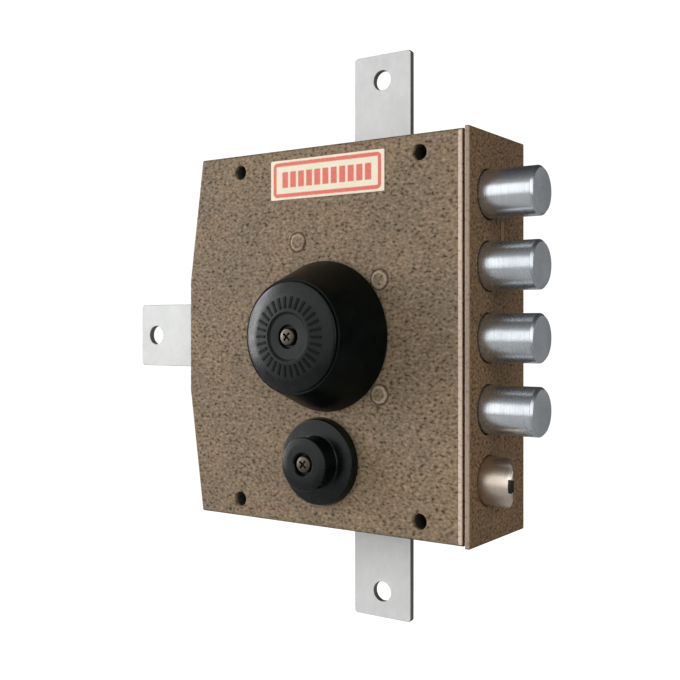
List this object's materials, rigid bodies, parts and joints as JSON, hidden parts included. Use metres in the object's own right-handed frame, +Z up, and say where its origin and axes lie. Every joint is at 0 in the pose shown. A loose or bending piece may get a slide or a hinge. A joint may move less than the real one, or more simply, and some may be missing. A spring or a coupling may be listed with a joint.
{
  "type": "surface-mounted multi-bolt door lock",
  "caption": "Surface-mounted security lock: bronze steel case, inside knobs, round deadbolts and sprung latch on one side, flat rod bolts above, below and on the left, cylinder and key behind.",
  "frame": {"origin": "centre of the four fixing holes, on the plane of the back plate that lies on the door; the knob, spindle and cylinder share the Y axis through it", "axes": "+X towards the deadbolts, +Y out of the back of the case into the door, +Z up along the row of bolts"},
  "size_m": [0.2098, 0.1704, 0.256],
  "materials": {
    "case_paint": "bronze hammered paint with fine dark veins",
    "rivet_paint": "bronze paint over steel",
    "inner_steel": "yellow-passivated zinc plate",
    "label": "cream label with a red frame",
    "cylinder_nickel": "satin nickel plate",
    "screw_steel": "zinc-plated steel",
    "spring_steel": "bright spring wire",
    "knob_plastic": "satin black moulding",
    "bolt_steel": "satin zinc plate",
    "rod_zinc": "light zinc plate",
    "latch_nickel": "sintered steel, nickel plated",
    "plug_brass": "turned brass",
    "key_nickel": "nickel silver"
  },
  "bodies": {
    "case": {"base_plate": "case_paint", "front_cover": "case_paint", "mid_plate": "inner_steel", "cover_pillars": "rivet_paint", "fixing_sleeves": "inner_steel", "rear_standoffs": "inner_steel", "label_plate": "label", "top_rod_guide": "inner_steel", "bottom_rod_guide": "inner_steel", "side_rod_guide": "inner_steel", "latch_bracket": "inner_steel", "cylinder_body": "cylinder_nickel", "cylinder_screws": "screw_steel"},
    "knob": {"main_knob": "knob_plastic", "main_knob_screw": "screw_steel", "drive_spindle": "inner_steel"},
    "carriage": {"bolt_carriage": "inner_steel", "carriage_bar": "inner_steel", "deadbolts": "bolt_steel"},
    "top_bolt": {"top_rod": "rod_zinc"},
    "bottom_bolt": {"bottom_rod": "rod_zinc"},
    "side_bolt": {"side_rod": "rod_zinc"},
    "latch": {"latch_bolt": "latch_nickel", "latch_tail": "inner_steel", "latch_spring": "spring_steel"},
    "small_knob": {"latch_knob": "knob_plastic", "latch_knob_screw": "screw_steel", "latch_crank": "inner_steel"},
    "plug": {"cylinder_plug": "plug_brass", "plug_driver": "plug_brass"},
    "key": {"key": "key_nickel"}
  },
  "joints": [
    {"name": "bolt_throw", "type": "slide", "parent": "case", "child": "carriage", "axis": [-1, 0, 0], "range_m": [0, 0.02199]},
    {"name": "knob_turn", "type": "hinge", "parent": "case", "child": "knob", "pos_m": [0, 0, 0], "axis": [0, 1, 0], "range_deg": [0, 180]},
    {"name": "top_rod_throw", "type": "slide", "parent": "case", "child": "top_bolt", "axis": [0, 0, -1], "range_m": [0, 0.022]},
    {"name": "bottom_rod_throw", "type": "slide", "parent": "case", "child": "bottom_bolt", "axis": [0, 0, 1], "range_m": [0, 0.022]},
    {"name": "side_rod_throw", "type": "slide", "parent": "case", "child": "side_bolt", "axis": [1, 0, 0], "range_m": [0, 0.022]},
    {"name": "latch_slide", "type": "slide", "parent": "case", "child": "latch", "axis": [-1, 0, 0], "range_m": [0, 0.0135], "stiffness_N_per_m": 300, "springref_m": -0.01, "deforming": ["latch_spring"]},
    {"name": "small_knob_turn", "type": "hinge", "parent": "case", "child": "small_knob", "pos_m": [-0.0013, 0, -0.0541], "axis": [0, 1, 0], "range_deg": [0, 48]},
    {"name": "key_turn", "type": "hinge", "parent": "case", "child": "plug", "pos_m": [0, 0, 0], "axis": [0, 1, 0], "range_deg": [0, 180]},
    {"name": "key_withdraw", "type": "slide", "parent": "plug", "child": "key", "axis": [0, 1, 0], "range_m": [0, 0.03]}
  ],
  "couplings": [
    {"joint": "knob_turn", "follows": "bolt_throw", "rad_per_m": 142.86},
    {"joint": "key_turn", "follows": "bolt_throw", "rad_per_m": 142.86},
    {"joint": "top_rod_throw", "follows": "bolt_throw", "ratio": 1},
    {"joint": "bottom_rod_throw", "follows": "bolt_throw", "ratio": 1},
    {"joint": "side_rod_throw", "follows": "bolt_throw", "ratio": 1},
    {"joint": "small_knob_turn", "follows": "latch_slide", "rad_per_m": 60.5}
  ]
}
